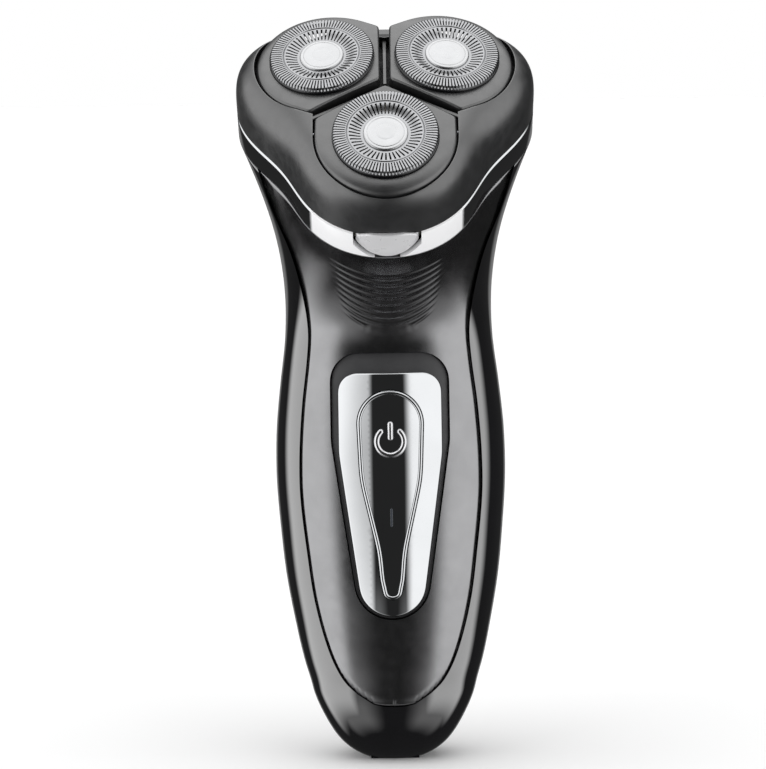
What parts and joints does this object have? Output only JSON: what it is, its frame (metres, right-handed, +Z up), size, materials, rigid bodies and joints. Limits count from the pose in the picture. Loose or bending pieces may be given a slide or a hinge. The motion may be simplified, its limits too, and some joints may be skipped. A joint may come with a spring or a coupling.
{
  "type": "rotary electric shaver",
  "caption": "Handheld rotary shaver with a leaning round-triangle head of floating slotted caps, chrome collar, keyhole power button, geared motor drive and a pop-up back trimmer.",
  "frame": {"origin": "middle of the flat foot at the base of the handle, on the web between the two wells of the charging inlet", "axes": "+Z up the handle towards the shaving head, front face towards -Y, +X to the right seen from the front"},
  "size_m": [0.063, 0.0575, 0.1597],
  "materials": {
    "gloss_black": "high gloss",
    "graphite_satin": "satin metallic lacquer",
    "black_trim": "gloss",
    "chrome": "mirror chrome plating",
    "satin_silver": "satin",
    "icon_silver": "satin",
    "head_satin": "satin moulded",
    "inner_plastic": "matte",
    "seal_rubber": "matte",
    "cap_steel": "fine ground",
    "motor_steel": "plated",
    "pale_nylon": "natural",
    "cell_wrap": "shrink wrap",
    "board_green": "lacquered",
    "switch_black": "matte",
    "lamp": "clear",
    "brass_pins": "plated"
  },
  "bodies": {
    "handle": {"rear_shell": "gloss_black", "front_shell": "graphite_satin", "control_bezel": "black_trim", "chrome_insert": "chrome", "chrome_band": "chrome", "drive_deck": "inner_plastic", "deck_seal": "seal_rubber", "motor_plate": "inner_plastic", "motor_can": "motor_steel", "inner_chassis": "pale_nylon", "battery_cell_1": "cell_wrap", "battery_cell_2": "cell_wrap", "battery_tabs": "motor_steel", "circuit_board": "board_green", "tact_switch": "switch_black", "indicator_light": "lamp", "charging_inlet": "black_trim", "inlet_pins": "brass_pins", "shell_screws": "motor_steel", "deck_screws": "motor_steel", "collar_hinge": "head_satin", "trimmer_tray": "black_trim"},
    "power_button": {"power_button": "black_trim", "button_outline": "chrome", "power_icon": "icon_silver"},
    "release_button": {"release_button": "satin_silver"},
    "pinion": {"motor_pinion": "pale_nylon"},
    "head": {"head_frame": "head_satin", "head_hinge": "head_satin", "hinge_pin": "motor_steel", "petal_pins": "motor_steel", "cutter_holder": "pale_nylon"},
    "knob": {"holder_knob": "pale_nylon"},
    "trimmer_slider": {"trimmer_slider": "inner_plastic"},
    "trimmer": {"trimmer_arm": "inner_plastic", "trimmer_cover": "gloss_black", "trimmer_comb": "cap_steel"},
    "trimmer_blade": {"trimmer_cutter": "cap_steel"},
    "petal_1": {"petal_1": "head_satin"},
    "cap_1": {"cap_1": "cap_steel", "cap_disc_1": "satin_silver"},
    "cutter_1": {"cutter_1": "cap_steel"},
    "gear_1": {"drive_gear_1": "pale_nylon", "spindle_spring_1": "motor_steel"},
    "spindle_1": {"spindle_1": "motor_steel"},
    "petal_2": {"petal_2": "head_satin"},
    "cap_2": {"cap_2": "cap_steel", "cap_disc_2": "satin_silver"},
    "cutter_2": {"cutter_2": "cap_steel"},
    "gear_2": {"drive_gear_2": "pale_nylon", "spindle_spring_2": "motor_steel"},
    "spindle_2": {"spindle_2": "motor_steel"},
    "petal_3": {"petal_3": "head_satin"},
    "cap_3": {"cap_3": "cap_steel", "cap_disc_3": "satin_silver"},
    "cutter_3": {"cutter_3": "cap_steel"},
    "gear_3": {"drive_gear_3": "pale_nylon", "spindle_spring_3": "motor_steel"},
    "spindle_3": {"spindle_3": "motor_steel"}
  },
  "joints": [
    {"name": "head_flip", "type": "hinge", "parent": "handle", "child": "head", "pos_m": [0, 0.01724, 0.15379], "axis": [-1, 0, 0], "range_deg": [0, 105]},
    {"name": "power_press", "type": "slide", "parent": "handle", "child": "power_button", "axis": [0, 1, 0], "range_m": [0, 0.0007], "stiffness_N_per_m": 900, "springref_m": -0.0003},
    {"name": "release_press", "type": "slide", "parent": "handle", "child": "release_button", "axis": [0, 0.7071, 0.7071], "range_m": [0, 0.0012], "stiffness_N_per_m": 700, "springref_m": -0.0004},
    {"name": "knob_turn", "type": "hinge", "parent": "head", "child": "knob", "pos_m": [0, -0.00524, 0.13724], "axis": [0, -0.7071, 0.7071], "range_deg": [0, 60]},
    {"name": "trimmer_slide", "type": "slide", "parent": "handle", "child": "trimmer_slider", "axis": [0, 0, 1], "range_m": [0, 0.004]},
    {"name": "trimmer_open", "type": "hinge", "parent": "handle", "child": "trimmer", "pos_m": [0, 0.0164, 0.067], "axis": [-1, 0, 0], "range_deg": [0, 60]},
    {"name": "trimmer_stroke", "type": "slide", "parent": "trimmer", "child": "trimmer_blade", "axis": [1, 0, 0], "range_m": [-0.0007, 0.0007]},
    {"name": "petal_tilt_1", "type": "hinge", "parent": "head", "child": "petal_1", "pos_m": [0, -0.02037, 0.1349], "axis": [1, 0, 0], "range_deg": [-2.5, 2.5], "stiffness_Nm_per_rad": 0.08},
    {"name": "cap_float_1", "type": "slide", "parent": "petal_1", "child": "cap_1", "axis": [0, 0.766, -0.6428], "range_m": [0, 0.0012], "stiffness_N_per_m": 300, "springref_m": -0.0005},
    {"name": "cutter_spin_1", "type": "hinge", "parent": "cap_1", "child": "cutter_1", "pos_m": [0, -0.02281, 0.13369], "axis": [0, -0.766, 0.6428], "continuous": true},
    {"name": "gear_spin_1", "type": "hinge", "parent": "handle", "child": "gear_1", "pos_m": [0, -0.01161, 0.12239], "axis": [0, -0.7071, 0.7071], "continuous": true},
    {"name": "spindle_dip_1", "type": "slide", "parent": "gear_1", "child": "spindle_1", "axis": [0, 0.7071, -0.7071], "range_m": [0, 0.0012], "stiffness_N_per_m": 150, "springref_m": -0.0005},
    {"name": "petal_tilt_2", "type": "hinge", "parent": "head", "child": "petal_2", "pos_m": [0.01058, -0.00625, 0.14689], "axis": [-0.5048, 0.672, 0.5418], "range_deg": [-2.5, 2.5], "stiffness_Nm_per_rad": 0.08},
    {"name": "cap_float_2", "type": "slide", "parent": "petal_2", "child": "cap_2", "axis": [-0.0755, 0.6736, -0.7352], "range_m": [0, 0.0012], "stiffness_N_per_m": 300, "springref_m": -0.0005},
    {"name": "cutter_spin_2", "type": "hinge", "parent": "cap_2", "child": "cutter_2", "pos_m": [0.01294, -0.00697, 0.14953], "axis": [0.0755, -0.6736, 0.7352], "continuous": true},
    {"name": "gear_spin_2", "type": "hinge", "parent": "handle", "child": "gear_2", "pos_m": [0.01299, 0.0043, 0.1383], "axis": [0, -0.7071, 0.7071], "continuous": true},
    {"name": "spindle_dip_2", "type": "slide", "parent": "gear_2", "child": "spindle_2", "axis": [0, 0.7071, -0.7071], "range_m": [0, 0.0012], "stiffness_N_per_m": 150, "springref_m": -0.0005},
    {"name": "petal_tilt_3", "type": "hinge", "parent": "head", "child": "petal_3", "pos_m": [-0.01058, -0.00625, 0.14689], "axis": [-0.5048, -0.672, -0.5418], "range_deg": [-2.5, 2.5], "stiffness_Nm_per_rad": 0.08},
    {"name": "cap_float_3", "type": "slide", "parent": "petal_3", "child": "cap_3", "axis": [0.0755, 0.6736, -0.7352], "range_m": [0, 0.0012], "stiffness_N_per_m": 300, "springref_m": -0.0005},
    {"name": "cutter_spin_3", "type": "hinge", "parent": "cap_3", "child": "cutter_3", "pos_m": [-0.01294, -0.00697, 0.14953], "axis": [-0.0755, -0.6736, 0.7352], "continuous": true},
    {"name": "gear_spin_3", "type": "hinge", "parent": "handle", "child": "gear_3", "pos_m": [-0.01299, 0.0043, 0.1383], "axis": [0, -0.7071, 0.7071], "continuous": true},
    {"name": "spindle_dip_3", "type": "slide", "parent": "gear_3", "child": "spindle_3", "axis": [0, 0.7071, -0.7071], "range_m": [0, 0.0012], "stiffness_N_per_m": 150, "springref_m": -0.0005},
    {"name": "pinion_spin", "type": "hinge", "parent": "handle", "child": "pinion", "pos_m": [0, -0.00029, 0.13229], "axis": [0, -0.7071, 0.7071], "continuous": true}
  ],
  "couplings": [
    {"joint": "pinion_spin", "follows": "gear_spin_1", "ratio": -4},
    {"joint": "gear_spin_2", "follows": "gear_spin_1", "ratio": 1},
    {"joint": "gear_spin_3", "follows": "gear_spin_1", "ratio": 1},
    {"joint": "cutter_spin_1", "follows": "gear_spin_1", "ratio": 1},
    {"joint": "cutter_spin_2", "follows": "gear_spin_1", "ratio": 1},
    {"joint": "cutter_spin_3", "follows": "gear_spin_1", "ratio": 1},
    {"joint": "spindle_dip_1", "follows": "cap_float_1", "ratio": 1},
    {"joint": "spindle_dip_2", "follows": "cap_float_2", "ratio": 1},
    {"joint": "spindle_dip_3", "follows": "cap_float_3", "ratio": 1},
    {"joint": "trimmer_open", "follows": "trimmer_slide", "rad_per_m": 261.8}
  ]
}
